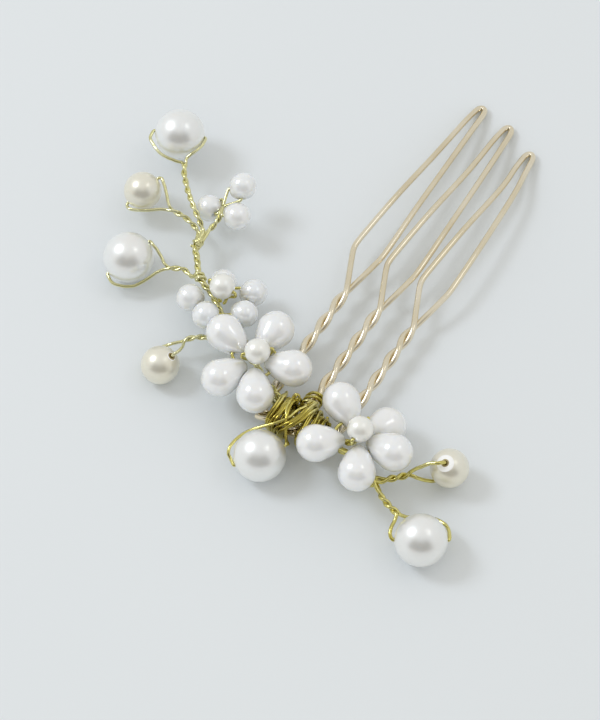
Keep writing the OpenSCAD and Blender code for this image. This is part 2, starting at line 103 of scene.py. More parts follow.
R6_A = [(29, -7.4, 7), (28, -7.9, 6.6), (27.1, -8.6, 6), (26.3, -9.1, 5.2), (25.8, -9.5, 4.5)]
R6_B = [(30.3, -4.7, 0.4), (29.7, -5.3, 0.3), (29, -6.7, 0.6), (28.3, -8.1, 1.6), (27.2, -9, 2.6),
        (26.3, -9.6, 3.4)]
R7_STEM = [(27.7, -16.7, 4.5), (26.4, -16.4, 4.4), (25.3, -16, 4.3), (24.1, -15.4, 4.2), (23.1, -14.7, 4.1)]
R7_A = [(28.5, -20.2, 4.3), (28.1, -19.1, 4.4), (27.9, -18, 4.4)]
R7_B = [(36, -15.5, 3.9), (35.4, -14.7, 3.7), (34.3, -13.9, 3.2), (32.8, -13.7, 2.8), (31.2, -14.1, 2.4),
        (29.8, -15, 2.6), (28.8, -16, 3.4)]
TIP_STEM = [(-23, 12.9, 6), (-22.7, 12.2, 5.8), (-22.7, 11.5, 5.5), (-22.9, 10.4, 5.1), (-23.1, 9.4, 4.9)]
LEFT_STEM = [(-3, -7.6, 5.6), (-1.2, -8.4, 5.4), (1.4, -9.2, 5.1), (3.4, -10.2, 4.9), (5, -10.6, 4.8)]
RIGHT_STEM = [(16.5, -10.4, 5.7), (15.4, -10.9, 5.5), (13.6, -11, 5.1), (11, -10.9, 4.9)]
LONG_BRANCH = [(9.2, -11.8, 4.5), (7, -11.6, 4.55), (4.2, -11.5, 4.55), (1.6, -10.2, 4.3), (-0.8, -8.4, 4.3), (-3.2, -6.8, 4.3),
               (-6, -5.3, 4.3), (-8.5, -4.4, 4.1), (-11, -3.1, 3.9), (-13.2, -1.6, 3.8), (-15.2, -0.2, 3.7),
               (-17, 0.9, 4.1), (-18.5, 1.3, 4.5), (-20, 2.2, 4.6), (-21, 3.4, 4.6), (-22.1, 4.8, 4.6),
               (-23.3, 6.2, 4.6), (-23.4, 7.8, 4.5)]
SHORT_BRANCH = [(12.4, -12, 4.5), (15.1, -12.1, 4.5), (17.8, -12.2, 4.4), (20.2, -13.3, 4.1), (22.1, -14.3, 4)]


# ------------------------------------------------------------------ curves
def unit(v):
    v = np.asarray(v, float)
    return v / np.linalg.norm(v)


def heading(az, el):
    a, e = math.radians(az), math.radians(el)
    return np.array([math.cos(a) * math.cos(e), math.sin(a) * math.cos(e), math.sin(e)])


def smooth_line(points, step):
    """Catmull-Rom curve through the points, one sample about every step."""
    p = np.asarray(points, float)
    m = len(p) - 1
    out = []
    for i in range(m):
        a, b, c, d = p[max(i - 1, 0)], p[i], p[i + 1], p[min(i + 2, m)]
        n = max(1, round(float(np.linalg.norm(c - b)) / step))
        for k in range(n):
            t = k / n
            out.append(0.5 * (2 * b + (c - a) * t + (2 * a - 5 * b + 4 * c - d) * t * t + (3 * b - a - 3 * c + d) * t**3))
    out.append(p[m])
    return np.array(out)


def lengths(p):
    return np.concatenate([[0], np.cumsum(np.linalg.norm(np.diff(p, axis=0), axis=1))])


def resample(p, step):
    p = np.asarray(p, float)
    keep = np.concatenate([[True], np.linalg.norm(np.diff(p, axis=0), axis=1) > 1e-6])
    p = p[keep]
    s = lengths(p)
    n = max(2, int(round(s[-1] / step)))
    q = np.linspace(0, s[-1], n + 1)
    return np.stack([np.interp(q, s, p[:, k]) for k in range(3)], axis=1)


def relax(p, rounds, hold=None):
    """Evens out corners by averaging each point with its neighbours; the ends stay."""
    p = np.array(p, float)
    w = np.ones(len(p)) if hold is None else 1 - np.asarray(hold, float)
    for _ in range(rounds):
        q = p.copy()
        q[1:-1] = 0.25 * p[:-2] + 0.5 * p[1:-1] + 0.25 * p[2:]
        p = p + (q - p) * w[:, None]
    return p


def tangents(p):
    t = np.empty_like(p)
    t[1:-1] = p[2:] - p[:-2]
    t[0], t[-1] = p[1] - p[0], p[-1] - p[-2]
    return t / np.linalg.norm(t, axis=1)[:, None]


def carried(t, n0):
    """A normal carried along the line without twist."""
    n = np.empty_like(t)
    v = np.asarray(n0, float)
    for i in range(len(t)):
        v = v - (v @ t[i]) * t[i]
        v = v / np.linalg.norm(v)
        n[i] = v
    return n


def side_of(t):
    return (0, 0, 1) if abs(t[2]) < 0.8 else (1, 0, 0)


def strand(p, n0, off, turn, j, n, phase=0.0):
    """Strand j of n wound round the line p; off may be a number or one number per point."""
    t = tangents(p)
    nn = carried(t, n0)
    b = np.cross(t, nn)
    a = 2 * math.pi * (j / n - lengths(p) / turn) + phase
    off = np.broadcast_to(np.asarray(off, float), a.shape)
    return p + off[:, None] * (np.cos(a)[:, None] * nn + np.sin(a)[:, None] * b)


def wander(p, amount, wave, seed, hold=None):
    """A hand-bent wire is never quite even: small smooth side steps, none at the ends."""
    rng = np.random.default_rng(seed)
    s = lengths(p)
    t = tangents(p)
    n = carried(t, side_of(t[0]))
    b = np.cross(t, n)
    fade = np.minimum(1, np.minimum(s, s[-1] - s) / (0.5 * wave))
    if hold is not None:
        fade = fade * (1 - np.asarray(hold, float))
    u = np.zeros(len(p))
    v = np.zeros(len(p))
    for k in (1.0, 0.53, 0.29):
        f = rng.uniform(0.85, 1.15, 2) / (wave * k)
        ph = rng.uniform(0, 6.28, 2)
        u += k * np.sin(2 * math.pi * f[0] * s + ph[0])
        v += k * np.sin(2 * math.pi * f[1] * s + ph[1])
    return p + (amount * fade)[:, None] * (u[:, None] * n + v[:, None] * b)


# ------------------------------------------------------------------ meshes
def put(v):
    return (np.asarray(v, float) + SHIFT) * 0.001


class Shell:
    """Collects closed shells of one piece."""

    def __init__(self):
        self.v, self.f, self.uv, self.n = [], [], [], 0

    def add(self, verts, faces, uvs):
        self.v.append(np.asarray(verts, float))
        self.f += [tuple(i + self.n for i in f) for f in faces]
        self.uv += uvs
        self.n += len(verts)

    def tube(self, p, r, k=12, cut=0.35):
        """A round wire along p with slightly rounded cut ends."""
        p = np.asarray(p, float)
        t = tangents(p)
        n = carried(t, side_of(t[0]))
        b = np.cross(t, n)
        s = lengths(p)
        r = np.broadcast_to(np.asarray(r, float), s.shape)
        e0, e1 = cut * r[0], cut * r[-1]
        rings = []  # centre, radius, frame index, arc length
        for q in (0.0, 0.3, 0.7):
            rings.append((p[0] + t[0] * e0 * (1 - math.sqrt(1 - (1 - q) ** 2)) if False else p[0] + t[0] * e0 * q * q, r[0] * (1 - 0.45 * (1 - q) ** 2), 0, e0 * q * q))
        for i in range(1, len(p) - 1):
            if e0 * 1.05 < s[i] < s[-1] - e1 * 1.05:
                rings.append((p[i], r[i], i, s[i]))
        m = len(p) - 1
        for q in (0.7, 0.3, 0.0):
            rings.append((p[m] - t[m] * e1 * q * q, r[m] * (1 - 0.45 * (1 - q) ** 2), m, s[-1] - e1 * q * q))
        ang = 2 * math.pi * np.arange(k) / k
        c, sn = np.cos(ang)[:, None], np.sin(ang)[:, None]
        verts = [q[0] + q[1] * (c * n[q[2]] + sn * b[q[2]]) for q in rings]
        verts = np.concatenate(verts + [rings[0][0][None], rings[-1][0][None]])
        faces, uvs = [], []
        for i in range(len(rings) - 1):
            for j in range(k):
                a, d = i * k + j, i * k + (j + 1) % k
                faces.append((a, d, d + k, a + k))
                u0, u1 = rings[i][3], rings[i + 1][3]
                uvs += [(u0, j / k), (u0, (j + 1) / k), (u1, (j + 1) / k), (u1, j / k)]
        c0, c1 = len(rings) * k, len(rings) * k + 1
        last = (len(rings) - 1) * k
        for j in range(k):
            faces.append((c0, (j + 1) % k, j))
            uvs += [(0, 0.5), (0, (j + 1) / k), (0, j / k)]
            faces.append((c1, last + j, last + (j + 1) % k))
            uvs += [(s[-1], 0.5), (s[-1], j / k), (s[-1], (j + 1) / k)]
        self.add(put(verts), faces, uvs)

    def object(self, name):
        me = bpy.data.meshes.new(name)
        v = np.concatenate(self.v)
        me.from_pydata(v.tolist(), [], self.f)
        lay = me.uv_layers.new(name="along")
        lay.data.foreach_set("uv", np.asarray(self.uv, np.float32).ravel())
        me.polygons.foreach_set("use_smooth", [True] * len(me.polygons))
        me.update()
        ob = bpy.data.objects.new(name, me)
        bpy.context.scene.collection.objects.link(ob)
        return ob


def lathe(profile, k, closed):
    """Turns (radius, z) points round z. closed joins the last point to the first (a bored body)."""
    verts, faces, uvs = [], [], []
    rows = []
    for r, z in profile:
        if r < 1e-9:
            rows.append([len(verts)])
            verts.append((0, 0, z))
        else:
            rows.append(list(range(len(verts), len(verts) + k)))
            for j in range(k):
                a = 2 * math.pi * j / k
                verts.append((r * math.cos(a), r * math.sin(a), z))
    m = len(rows)
    for i in range(m if closed else m - 1):
        a, b = rows[i], rows[(i + 1) % m]
        for j in range(k):
            j1 = (j + 1) % k
            u = [(j / k, i / m), ((j + 1) / k, i / m), ((j + 1) / k, (i + 1) / m), (j / k, (i + 1) / m)]
            if len(a) == 1:
                faces.append((a[0], b[j1], b[j]))
                uvs += [u[0], u[2], u[3]]
            elif len(b) == 1:
                faces.append((a[j], a[j1], b[0]))
                uvs += [u[0], u[1], u[2]]
            else:
                faces.append((a[j], a[j1], b[j1], b[j]))
                uvs += u
    return np.array(verts, float), faces, uvs


def turn_frame(axis):
    """Columns x, y, z with z along axis and y level."""
    z = unit(axis)
    y = np.array([-z[1], z[0], 0.0])
    y = unit(y) if np.linalg.norm(y) > 1e-6 else np.array([0.0, 1.0, 0.0])
    return np.stack([np.cross(y, z), y, z], axis=1)


def pearl_profile(r, bore):
    """Outline of a drilled pearl: bore wall, rolled mouth, sphere."""
    lip = 0.1
    # lip circle touches the bore wall and the sphere from inside
    cx = bore + lip
    cz = math.sqrt((r - lip) ** 2 - cx**2)
    a_s = math.atan2(cz, cx)
    side = []
    for i in range(6):
        a = math.pi + (a_s - math.pi) * i / 5
        side.append((cx + lip * math.cos(a), cz + lip * math.sin(a)))
    top = [(bore, cz * q) for q in (0.35, 0.8, 0.97)]
    n = 56
    a0, a1 = a_s, -a_s
    ball = [(r * math.cos(a0 + (a1 - a0) * i / n), r * math.sin(a0 + (a1 - a0) * i / n)) for i in range(1, n)]
    low = [(x, -z) for x, z in reversed(side)]
    bottom = [(x, -z) for x, z in reversed(top)]
    return top + side + ball + low + bottom


def bored_pearl(name, c, az, el, d, bore, seed):
    prof = pearl_profile(d / 2, bore)
    verts, faces, uvs = lathe(prof, 96, True)
    # a dipped coat is never quite even
    rng = np.random.default_rng(seed)
    out = np.linalg.norm(verts, axis=1) > d / 2 - 1e-3
    n = verts / np.maximum(np.linalg.norm(verts, axis=1), 1e-9)[:, None]
    wob = np.zeros(len(verts))
    for _ in range(4):
        ax = unit(rng.normal(size=3))
        wob += 0.004 * np.cos(rng.uniform(1.5, 3.5) * (n @ ax) + rng.uniform(0, 6.28))
    verts = verts - n * (0.016 + wob)[:, None] * out[:, None] * np.clip((np.hypot(verts[:, 0], verts[:, 1]) - bore) / 1.0, 0, 1)[:, None]
    world = verts @ turn_frame(heading(az, el)).T + np.asarray(c, float)
    s = Shell()
    s.add(put(world), [tuple(reversed(f)) for f in faces], [x for f, u in zip(faces, split(uvs, faces)) for x in reversed(u)])
    return s.object(name)


def painted_bore_mouth(ob, c, az, el, d, inner, outer):
    """Painted highlight and painted shade round the upper mouth of a bore, as second and third materials: a white ring
    painted for the glint on the rim, and a brown throat painted for the dark hole and the wire reflected in it.
    """
    ob.data.materials.append(GLINT_RING_PAINT)
    ob.data.materials.append(THROAT_SHADE_PAINT)
    h = heading(az, el)
    mid = (np.asarray(c, float) + h * 0.0)
    for poly in ob.data.polygons:
        q = np.array(poly.center) * 1000 - SHIFT - mid
        along = float(q @ h)
        off = float(np.linalg.norm(q - along * h))
        if along > d / 2 - 1.2 and off < outer:
            poly.material_index = 1 if off > inner else 2


def split(flat, faces):
    i = 0
    for f in faces:
        yield flat[i : i + len(f)]
        i += len(f)


def drop_mesh(name, spec):
    """A drop bead with its cross hole, narrow end at the origin, round end up z, in millimetres."""
    R, r, L = spec
    lean = math.asin((R - r) / L)
    pts = []
    for i in range(61):
        u = math.pi / 2 - (math.pi / 2 + lean) * i / 60
        pts.append((max(0.0, R * math.cos(u)), L + R * math.sin(u)))
    for i in range(1, 12):
        t = i / 12
        a, b = pts[60], (r * math.cos(lean), -r * math.sin(lean))
        pts.append((a[0] + (b[0] - a[0]) * t + 0.075 * R * math.sin(math.pi * t), a[1] + (b[1] - a[1]) * t))
    for i in range(25):
        u = -lean - (math.pi / 2 - lean) * i / 24
        pts.append((max(0.0, r * math.cos(u)), r * math.sin(u)))
    p = np.array(pts)
    d = np.concatenate([[0], np.cumsum(np.linalg.norm(np.diff(p, axis=0), axis=1))])
    q = np.linspace(0, d[-1], 76)
    p = np.stack([np.interp(q, d, p[:, 0]), np.interp(q, d, p[:, 1])], axis=1)
    # roll the straight flank into the two ends
    mirror = np.concatenate([(p[1:9] * [-1, 1])[::-1], p, (p[-9:-1] * [-1, 1])[::-1]])
    for _ in range(14):
        mirror[1:-1] = 0.25 * mirror[:-2] + 0.5 * mirror[1:-1] + 0.25 * mirror[2:]
    p = mirror[8:-8]
    p[0, 0] = p[-1, 0] = 0.0
    verts, faces, uvs = lathe([(float(a), float(b)) for a, b in p], 64, False)
    me = bpy.data.meshes.new(name)
    me.from_pydata(verts.tolist(), [], [tuple(reversed(f)) for f in faces])
    body = bpy.data.objects.new(name, me)
    bpy.context.scene.collection.objects.link(body)
    pin_v, pin_f = [], []
    k = 28
    ends = [(-4.0, 0.4), (4.0, 0.4)]
    for y, rr in ends:
        for j in range(k):
            a = 2 * math.pi * j / k
            pin_v.append((rr * math.sin(a), y, rr * math.cos(a)))
    for j in range(k):
        j1 = (j + 1) % k
        pin_f.append((j, j1, k + j1, k + j))
    pin_f += [tuple(range(k - 1, -1, -1)), tuple(range(k, 2 * k))]
    pm = bpy.data.meshes.new(name + "_pin")
    pm.from_pydata(pin_v, [], pin_f)
    pin = bpy.data.objects.new(name + "_pin", pm)
    bpy.context.scene.collection.objects.link(pin)
    mod = body.modifiers.new("hole", "BOOLEAN")
    mod.operation = "DIFFERENCE"
    mod.solver = "EXACT"
    mod.object = pin
    bpy.context.view_layer.update()
    done = bpy.data.meshes.new_from_object(body.evaluated_get(bpy.context.evaluated_depsgraph_get()))
    for o in (body, pin):
        bpy.data.objects.remove(o)
    bpy.data.meshes.remove(me)
    bpy.data.meshes.remove(pm)
    done.polygons.foreach_set("use_smooth", [True] * len(done.polygons))
    done.set_sharp_from_angle(angle=math.radians(40))
    done.name = name
    return done


def place_drop(name, base, spec, mid, tip, seed):
    rng = np.random.default_rng(seed)
    mid, tip = np.asarray(mid, float), np.asarray(tip, float)
    d = unit(tip - mid)
    at = tip - d * spec[2]
    me = base.copy()
    me.name = name
    co = np.zeros(len(me.vertices) * 3, np.float32)
    me.vertices.foreach_get("co", co)
    v = co.reshape(-1, 3).astype(float)
    # each bead is a little different: slightly oval, slightly leaning, never bigger than its blank
    round_end = np.clip((v[:, 2] - 0.8) / (spec[2] + spec[0] - 0.8), 0, 1)
    fat = rng.uniform(-0.025, 0.0, 2)
    v[:, 0] *= 1 + fat[0] * round_end
    v[:, 1] *= 1 + fat[1] * round_end
    lean = rng.uniform(-0.05, 0.05, 2)
    v[:, 0] += lean[0] * round_end**2
    v[:, 1] += lean[1] * round_end**2
    w = put(v @ turn_frame(d).T + at)
    me.vertices.foreach_set("co", w.astype(np.float32).ravel())
    me.update()
    ob = bpy.data.objects.new(name, me)
    bpy.context.scene.collection.objects.link(ob)
    return ob


# ------------------------------------------------------------------ materials
class Mat:
    def __init__(self, name):
        self.m = bpy.data.materials.new(name)
        self.m.use_nodes = True
        self.t = self.m.node_tree
        self.t.nodes.clear()
        self.out = self.t.nodes.new("ShaderNodeOutputMaterial")

    def n(self, kind, **sets):
        o = self.t.nodes.new(kind)
        for key, value in sets.items():
            if key.startswith("i_"):
                o.inputs[key[2:].replace("_", " ")].default_value = value
            else:
                setattr(o, key, value)
        return o

    def l(self, a, b):
        self.t.links.new(a, b)

    def ramp(self, src, stops):
        r = self.n("ShaderNodeValToRGB")
        e = r.color_ramp.elements
        while len(e) < len(stops):
            e.new(0.5)
        for el, (pos, col) in zip(e, stops):
            el.position = pos
            el.color = (*col, 1) if len(col) == 3 else col
        self.l(src, r.inputs["Fac"])
        return r.outputs["Color"]

    def map(self, src, lo, hi, a=0.3, b=0.7):
        r = self.n("ShaderNodeMapRange")
        r.inputs["From Min"].default_value = a
        r.inputs["From Max"].default_value = b
        r.inputs["To Min"].default_value = lo
        r.inputs["To Max"].default_value = hi
        self.l(src, r.inputs["Value"])
        return r.outputs["Result"]

    def noise(self, scale, detail=3.0, rough=0.5, vector=None, dist=0.0):
        t = self.n("ShaderNodeTexNoise")
        t.inputs["Scale"].default_value = scale
        t.inputs["Detail"].default_value = detail
        t.inputs["Roughness"].default_value = rough
        t.inputs["Distortion"].default_value = dist
        if vector is None:
            if not hasattr(self, "obj"):
                self.obj = self.n("ShaderNodeTexCoord").outputs["Object"]
            vector = self.obj
        self.l(vector, t.inputs["Vector"])
        return t.outputs["Fac"]

    def bump(self, height, strength, distance, normal=None):
        b = self.n("ShaderNodeBump")
        b.inputs["Strength"].default_value = strength
        b.inputs["Distance"].default_value = distance
        self.l(height, b.inputs["Height"])
        if normal is not None:
            self.l(normal, b.inputs["Normal"])
        return b.outputs["Normal"]

    def along(self, sx, sy):
        uv = self.n("ShaderNodeUVMap", uv_map="along")
        mp = self.n("ShaderNodeMapping")
        mp.inputs["Scale"].default_value = (sx, sy, 1)
        self.l(uv.outputs["UV"], mp.inputs["Vector"])
        return mp.outputs["Vector"]

    def principled(self, **sets):
        p = self.n("ShaderNodeBsdfPrincipled")
        for key, value in sets.items():
            p.inputs[key.replace("_", " ")].default_value = value
        self.l(p.outputs["BSDF"], self.out.inputs["Surface"])
        return p


def metal(name, dark, mid, light, rough, streak=0.5):
    m = Mat(name)
    big = m.noise(150, 2)
    fine = m.noise(2600, 4, 0.6)
    lines = m.noise(1.0, 3, 0.6, m.along(0.35, 22))
    p = m.principled(Metallic=1.0)
    col = m.ramp(big, [(0.25, dark), (0.5, mid), (0.78, light)])
    m.l(col, p.inputs["Base Color"])
    add = m.n("ShaderNodeMath", operation="ADD")
    m.l(m.map(big, rough[0], rough[1], 0.35, 0.65), add.inputs[0])
    m.l(m.map(lines, 0.0, 0.06, 0.35, 0.7), add.inputs[1])
    m.l(add.outputs[0], p.inputs["Roughness"])
    nrm = m.bump(lines, streak * 0.25, 0.00001)
    nrm = m.bump(fine, 0.12, 0.00001, nrm)
    m.l(nrm, p.inputs["Normal"])
    return m.m


def pearl(name, shade, warm, cool, rough=(0.31, 0.35), metallic=0.6):
    m = Mat(name)
    drift = m.noise(170, 2, 0.5, dist=0.6)
    mottle = m.noise(500, 2, 0.5)
    p = m.principled(
        Subsurface_Weight=0.25,
        Subsurface_Radius=(0.0012, 0.0011, 0.001),
        Subsurface_Scale=1.0,
        IOR=1.53,
        Coat_Weight=0.55,
        Coat_Roughness=0.15,
        Coat_IOR=1.45,
        Metallic=metallic,
    )
    col = m.ramp(drift, [(0.3, cool), (0.52, shade), (0.72, warm)])
    m.l(col, p.inputs["Base Color"])
    m.l(m.map(mottle, rough[0], rough[1]), p.inputs["Roughness"])
    m.l(m.bump(m.noise(700, 1, 0.4), 0.03, 0.00001), p.inputs["Normal"])
    return m.m


def bead(name, shade, warm, cool, clear=0.0):
    m = Mat(name)
    drift = m.noise(230, 2, 0.5, dist=0.8)
    skin = m.noise(500, 2, 0.5)
    p = m.principled(
        Subsurface_Weight=0.9,
        Subsurface_Radius=(0.0016, 0.0017, 0.0019),
        Subsurface_Scale=1.0,
        IOR=1.5,
        Coat_Weight=0.8,
        Coat_Roughness=0.1,
        Coat_IOR=1.6,
        Metallic=0.24,
        Transmission_Weight=clear,
    )
    m.l(m.ramp(drift, [(0.3, cool), (0.5, shade), (0.72, warm)]), p.inputs["Base Color"])
    m.l(m.map(skin, 0.19, 0.24), p.inputs["Roughness"])
    m.l(m.bump(m.noise(600, 1, 0.4), 0.03, 0.00001), p.inputs["Normal"])
    return m.m


def plain(name, lo, hi, rough):
    m = Mat(name)
    p = m.principled(Coat_Weight=0.6, Coat_Roughness=0.1)
    g = m.noise(900, 2)
    m.l(m.ramp(g, [(0.3, lo), (0.7, hi)]), p.inputs["Base Color"])
    m.l(m.map(g, rough, rough + 0.1), p.inputs["Roughness"])
    return m.m


# A white ring painted as the highlight on a bore rim, and a brown throat painted as the shade in the hole and the wire
# reflected in it.
GLINT_RING_PAINT = plain("painted_glint_ring", (0.97, 0.97, 0.96), (0.995, 0.995, 0.99), 0.25)
THROAT_SHADE_PAINT = plain("painted_throat_shade", (0.30, 0.23, 0.09), (0.42, 0.34, 0.15), 0.4)
COMB_METAL = metal("champagne_wire", (0.76, 0.655, 0.46), (0.83, 0.735, 0.545), (0.90, 0.82, 0.66), (0.08, 0.16))
# The one craft wire in copies: the paler copy paints the light on wires that face the window, and the deeper copy
# paints shade on the wires of pearls 5 to 7, the flowers and the short branch.
LIT_CRAFT_WIRE = metal("lit_lemon_gold_wire", (0.70, 0.66, 0.31), (0.78, 0.745, 0.42), (0.85, 0.83, 0.54), (0.09, 0.15), 0.8)
SHADE_PAINTED_WIRE = metal("shade_painted_gold_wire", (0.60, 0.515, 0.13), (0.72, 0.645, 0.22), (0.81, 0.755, 0.35), (0.09, 0.17), 0.8)
# The binding's copy of the craft wire is darker, with a near-black stop in its random patches, as painted shade between
# the tangled turns.
TANGLE_SHADE_WIRE = metal("tangle_shade_painted_gold_wire", (0.26, 0.185, 0.025), (0.57, 0.48, 0.105), (0.89, 0.84, 0.44), (0.06, 0.12), 0.8)
WHITE_PEARL = pearl("white_pearl", (0.92, 0.925, 0.905), (0.925, 0.915, 0.885), (0.905, 0.92, 0.915))
IVORY_PEARL = pearl("ivory_pearl", (0.875, 0.84, 0.715), (0.88, 0.83, 0.675), (0.86, 0.84, 0.745))
CREAM_PEARL = pearl("cream_pearl", (0.93, 0.925, 0.875), (0.93, 0.915, 0.85), (0.92, 0.925, 0.895), metallic=0.4)
PETAL = bead("milky_petal", (0.925, 0.935, 0.94), (0.935, 0.935, 0.925), (0.90, 0.92, 0.94), 0.05)
SMALL_BEAD = bead("milky_drop", (0.905, 0.92, 0.94), (0.92, 0.925, 0.925), (0.87, 0.895, 0.935), 0.06)


def finish_piece(ob, node, body, material):
    ob.data.materials.clear()
    ob.data.materials.append(material)
    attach(ob, body)
    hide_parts(node)
    return ob


# ------------------------------------------------------------------ comb
def tooth_loop(x, tip):
    t0, ty = tip
    return [
        (x - 1.7, 16.8, 3.5), (x - 2.9, 19.6, 3.6), (x - 3.1, 20.8, 3.65),
        (x - 2.9, 24, 3.8), (x - 2.3, 32, 3.8), (x - 1.5, 42, 3), (x - 0.95 + t0 * 0.7, ty - 4.6, 1.7),
        (x - 0.78 + t0 * 0.9, ty - 2.2, 1.1), (x - 0.62 + t0, ty - 0.7, 0.75),
        (x + t0, ty, 0.6), (x + 0.62 + t0, ty - 0.7, 0.75),
        (x + 0.78 + t0 * 0.9, ty - 2.2, 1.1), (x + 0.9 + t0 * 0.7, ty - 4.6, 1.7),
        (x + 1.25 + t0 * 0.3, 42, 3), (x + 1.5, 32, 3.8), (x + 1.7, 24, 3.8), (x + 1.65, 20.6, 3.6),
        (x + 1.45, 19.4, 3.5), (x + 0.9, 16.6, 3.2)]


def tooth(name, i, tip):
    x = TOOTH_X[i]
    n = int(round((TWIST_TOP - TWIST_LOW) / 0.18))
    axis = np.array([[x, TWIST_TOP - k * (TWIST_TOP - TWIST_LOW) / n, COMB_Z] for k in range(n + 1)])
    a = strand(axis, (0, 0, 1), CW + 0.03, TOOTH_TWIST, 0, 2)
    b = strand(axis, (0, 0, 1), CW + 0.03, TOOTH_TWIST, 1, 2)
    loop = smooth_line([a[0]] + tooth_loop(x, tip) + [b[0]], 0.3)
    path = resample(np.concatenate([a[::-1], loop[1:-1], b]), 0.22)
    path = relax(path, 10)
    s = Shell()
    s.tube(path, CW, 20)
    return finish_piece(s.object(name + "_wire"), name, "comb", COMB_METAL)


tooth("tooth_left", 0, (-0.25, 55.6))
tooth("tooth_middle", 1, (-0.75, 54.6))
tooth("tooth_right", 2, (-1.35, 52))

rail = smooth_line([(0.4, RAIL_Y, COMB_Z), (6.4, RAIL_Y, COMB_Z), (13.2, RAIL_Y, COMB_Z)], 0.2)
s = Shell()
for j in range(3):
    s.tube(strand(rail, (0, 0, 1), CW * 1.2, RAIL_TWIST, j, 3), CW, 20)
finish_piece(s.object("comb_rail_strands"), "comb_rail", "comb", COMB_METAL)

# ------------------------------------------------------------------ loose pearls
for i, (c, az, el, d) in enumerate(PEARLS):
    ob = bored_pearl("pearl_%d_ball" % (i + 1), c, az, el, d, BORE_R, 11 + i)
    small = d < 7
    finish_piece(ob, "pearl_%d" % (i + 1), "loose_pearl_%d" % (i + 1),
                 IVORY_PEARL if small else WHITE_PEARL)
    # Pearls 6 and 4 get the painted rim highlight and the painted throat shade round one bore mouth.
    if i == 5:
        painted_bore_mouth(ob, c, az, el, d, 0.64, 1.35)
    elif i == 3:
        painted_bore_mouth(ob, c, az, el, d, 0.55, 0.8)

# ------------------------------------------------------------------ beads
big = drop_mesh("big_blank", BIG_DROP)
little = drop_mesh("small_blank", SMALL_DROP)
for i, q in enumerate(TIP):
    node = "tip_drop_%d" % (i + 1)
    finish_piece(place_drop(node + "_bead", little, SMALL_DROP, TIP_MID, q, 31 + i), node, "comb", SMALL_BEAD)
for i, q in enumerate(SMALL):
    node = "small_flower_bead_%d" % (i + 1)
    finish_piece(place_drop(node + "_drop", little, SMALL_DROP, SMALL_MID, q, 41 + i), node, "comb", SMALL_BEAD)
for side, mid, tips in (("left", LEFT_MID, LEFT), ("right", RIGHT_MID, RIGHT)):
    for i, q in enumerate(tips):
        node = "%s_flower_petal_%d" % (side, i + 1)
        finish_piece(place_drop(node + "_bead", big, BIG_DROP, mid, q, (51 if side == "left" else 61) + i), node, "comb", PETAL)
for side, top, az in (("small", SMALL_TOP, SMALL_AZ), ("left", LEFT_TOP, LEFT_AZ), ("right", RIGHT_TOP, RIGHT_AZ)):
    node = side + "_flower_centre"
    finish_piece(bored_pearl(node + "_pearl", top, az, 0, 4.0, CENTRE_BORE_R, 71 + len(side)), node, "comb", CREAM_PEARL)
bpy.data.meshes.remove(big)
bpy.data.meshes.remove(little)


# ------------------------------------------------------------------ craft wire
STEP = 0.11


LONG_LINE = relax(resample(smooth_line(LONG_BRANCH, 0.1), STEP), 8)
SHORT_LINE = relax(resample(smooth_line(SHORT_BRANCH, 0.1), STEP), 8)


def tail(end, line, ahead, radius, turns, pitch, run, spin=1):
    """Points that carry a strand on from its stem: it closes on the branch, winds round it and
    then runs along it towards the rail (the start of the branch line)."""
    end = np.asarray(end, float)
    s = lengths(line)
    t = tangents(line)
    nn = carried(t, (0, 0, 1))
    b = np.cross(t, nn)
    k0 = int(np.argmin(np.linalg.norm(line - end, axis=1)))
    s0 = s[k0] - ahead
    k = int(np.argmin(abs(s - s0)))
    d = end - line[k0]
    a0 = math.atan2(float(d @ b[k0]), float(d @ nn[k0]))
    pts = []
    wound = turns * pitch
    n = int((turns * 14) + run / 0.35)
    for i in range(1, n + 1):
        if i <= turns * 14:
            f = i / 14
            back, ang, r = f * pitch, 2 * math.pi * f, radius
        else:
            g = (i - turns * 14) * 0.35
            back, ang, r = wound + g, 2 * math.pi * (turns + g / 4.6), radius - 0.12 * min(1, g / 2)
        q = s0 - back
        if q < 0.3:
            break
        c = np.array([np.interp(q, s, line[:, j]) for j in range(3)])
        u = np.array([np.interp(q, s, nn[:, j]) for j in range(3)])
        v = np.array([np.interp(q, s, b[:, j]) for j in range(3)])
        a = a0 + spin * ang
        pts.append(c + r * (math.cos(a) * u + math.sin(a) * v))
    return pts


def outside(path, c, h, need):
    """Pushes a wire that grazes a ball out to its surface, except where it enters the bore."""
    d = path - c
    dist = np.linalg.norm(d, axis=1)
    off = np.linalg.norm(d - (d @ h)[:, None] * h, axis=1)
    f = np.clip((off - 0.12) / 0.33, 0, 1)
    want = need * f * f * (3 - 2 * f)
    out = path.copy()
    m = dist < want
    out[m] = c + d[m] * (want[m] / dist[m])[:, None]
    return out


